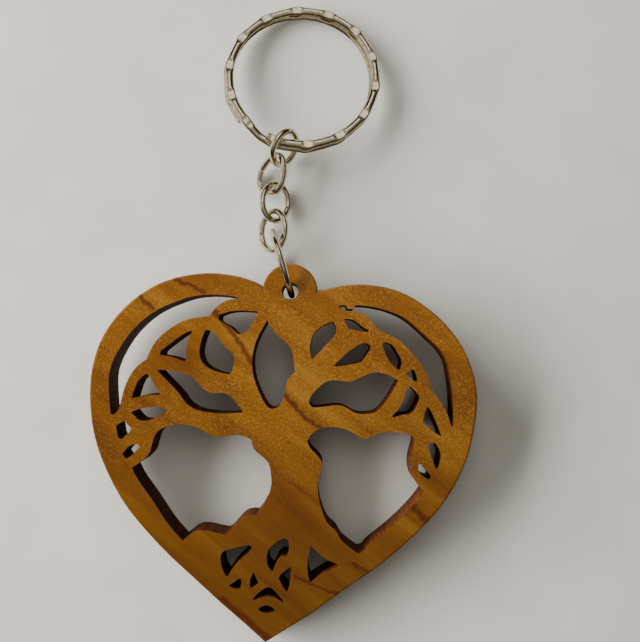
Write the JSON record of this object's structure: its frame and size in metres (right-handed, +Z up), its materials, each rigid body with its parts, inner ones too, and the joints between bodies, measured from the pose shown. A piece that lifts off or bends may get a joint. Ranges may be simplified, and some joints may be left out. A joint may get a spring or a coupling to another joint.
{
  "type": "keychain with a wooden heart pendant",
  "caption": "Fret-cut wooden heart with a tree design, hung by a jump ring and a short oval-link chain from a crimped split ring for keys.",
  "frame": {"origin": "under the middle of the keychain's bounding box, on the surface it lies on", "axes": "+Z up off the table, out of the heart's front; +Y from the heart's point to the split ring; +X to the right seen from above"},
  "size_m": [0.0572, 0.099, 0.0111],
  "materials": {
    "olive_wood": "oiled and waxed, golden brown with darker figure and browned cut walls",
    "nickel_steel": "bright nickel plate, slightly warm, with small dents and scuffs"
  },
  "bodies": {
    "heart": {"heart_pendant": "olive_wood"},
    "jump_ring_body": {"jump_ring": "nickel_steel"},
    "lower_link_body": {"chain_link_lower": "nickel_steel"},
    "middle_link_body": {"chain_link_middle": "nickel_steel"},
    "upper_link_body": {"chain_link_upper": "nickel_steel"},
    "ring_link_body": {"ring_link": "nickel_steel"},
    "split_ring_body": {"split_ring": "nickel_steel"}
  },
  "joints": [
    {"name": "jump_ring_swing", "type": "hinge", "parent": "heart", "child": "jump_ring_body", "pos_m": [-0.00009, 0.00181, 0.00552], "axis": [0, -0.0594, 0.9982], "range_deg": [-75, 30]},
    {"name": "lower_link_swing", "type": "hinge", "parent": "jump_ring_body", "child": "lower_link_body", "pos_m": [-0.00303, 0.00946, 0.00202], "axis": [-0.2489, 0.6485, 0.7193], "range_deg": [-40, 90]},
    {"name": "middle_link_swing", "type": "hinge", "parent": "lower_link_body", "child": "middle_link_body", "pos_m": [-0.00395, 0.01478, 0.00276], "axis": [0.7872, 0.0815, 0.6113], "range_deg": [-90, 90]},
    {"name": "upper_link_swing", "type": "hinge", "parent": "middle_link_body", "child": "upper_link_body", "pos_m": [-0.00322, 0.01939, 0.00135], "axis": [0.7504, -0.2962, -0.591], "range_deg": [-30, 75]},
    {"name": "ring_link_swing", "type": "hinge", "parent": "upper_link_body", "child": "ring_link_body", "pos_m": [-0.00361, 0.02362, 0.00347], "axis": [0.7279, -0.455, 0.5129], "range_deg": [-60, 75]},
    {"name": "split_ring_fold", "type": "hinge", "parent": "ring_link_body", "child": "split_ring_body", "pos_m": [-0.00262, 0.02544, 0.00354], "axis": [0.9903, -0.1392, 0], "range_deg": [-75, 90]}
  ]
}
